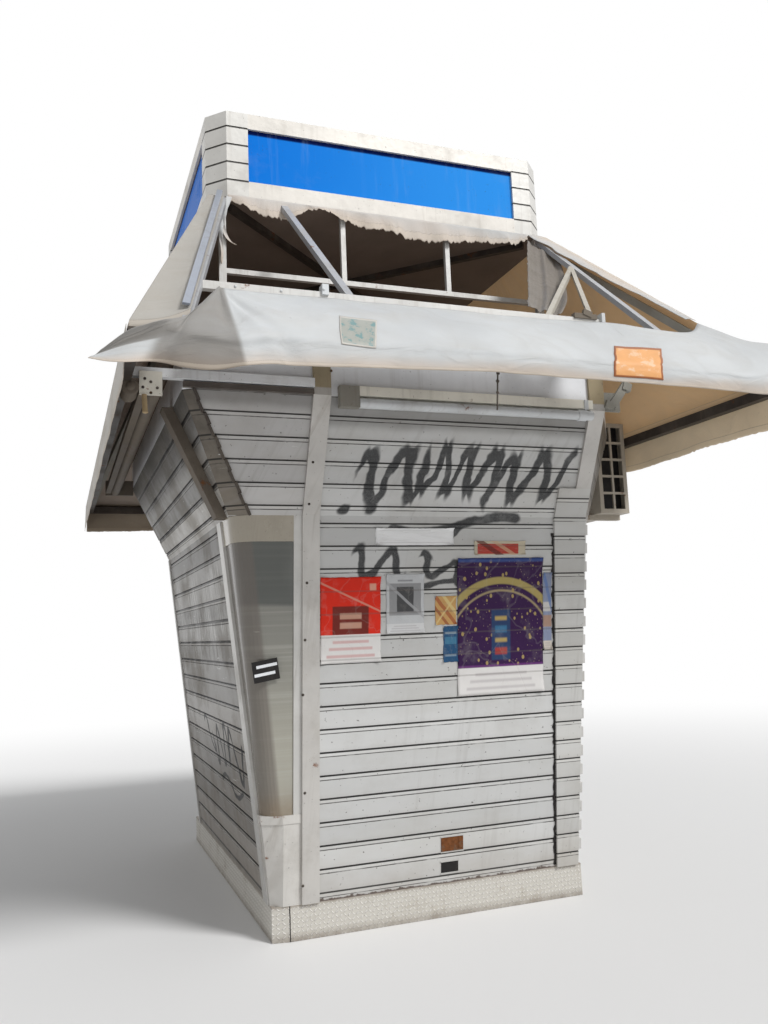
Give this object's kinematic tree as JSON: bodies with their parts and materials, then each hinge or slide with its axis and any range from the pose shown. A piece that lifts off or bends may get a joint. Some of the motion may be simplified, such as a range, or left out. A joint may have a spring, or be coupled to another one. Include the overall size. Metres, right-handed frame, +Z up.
{
  "type": "street kiosk",
  "caption": "Slatted aluminium street kiosk with a leaning front, a corner showcase, a sign box on a roof frame and a torn cloth canopy on all sides.",
  "frame": {"origin": "on the ground, under the middle of the cabin's skirt", "axes": "+X to the right along the front, +Y towards the back, +Z up"},
  "size_m": [3.2593, 4.5566, 4.3],
  "materials": {
    "slats": "satin",
    "frame": "satin",
    "skirt": "raised tread pattern",
    "sheet": "satin",
    "cream": "satin",
    "dark_steel": "matt",
    "pane": "clear",
    "band": "gloss",
    "panel": "matt",
    "sign": "gloss",
    "floor": "matt",
    "cloth": "coated cloth",
    "casing": "satin",
    "coil": "matt"
  },
  "bodies": {
    "root": {"ac_arms": "frame", "ac_casing": "casing", "ac_coil": "coil", "ac_grille": "casing", "back_awning": "cloth", "back_flare": "slats", "back_wall": "slats", "ceiling_braces": "dark_steel", "corner_base": "sheet", "corner_flare": "slats", "corner_flares": "slats", "corner_walls": "slats", "floor_deck": "floor", "front_braces": "frame", "front_canopy": "cloth", "front_corner_cover": "slats", "front_flare": "slats", "front_left_post": "frame", "front_purlin": "frame", "front_rafters": "frame", "front_right_post": "frame", "front_shutter": "slats", "front_valance": "cloth", "gear_bracket": "dark_steel", "gear_plate": "cream", "gear_tubes": "cream", "head_bars": "frame", "head_box": "cream", "head_brackets": "dark_steel", "head_corners": "sheet", "head_fascia": "sheet", "hip_rafters": "frame", "left_awning": "cloth", "left_flare": "slats", "left_flare_post": "frame", "left_guides": "frame", "left_shutter": "slats", "plinth_boards": "skirt", "plinth_corner": "skirt", "right_awning": "cloth", "right_flare": "slats", "right_wall": "slats", "ring_bars": "frame", "roller_tube": "cream", "roof_deck": "sheet", "roof_rails": "frame", "showcase_back": "panel", "showcase_band": "band", "showcase_pane": "pane", "showcase_sill": "frame", "showcase_strip": "frame", "side_valances": "cloth", "sign_ceiling": "dark_steel", "sign_columns": "sheet", "sign_legs": "frame", "sign_panels": "sign", "sign_rails": "cream", "torn_drape": "cloth", "torn_strip": "cloth"}
  },
  "joints": []
}
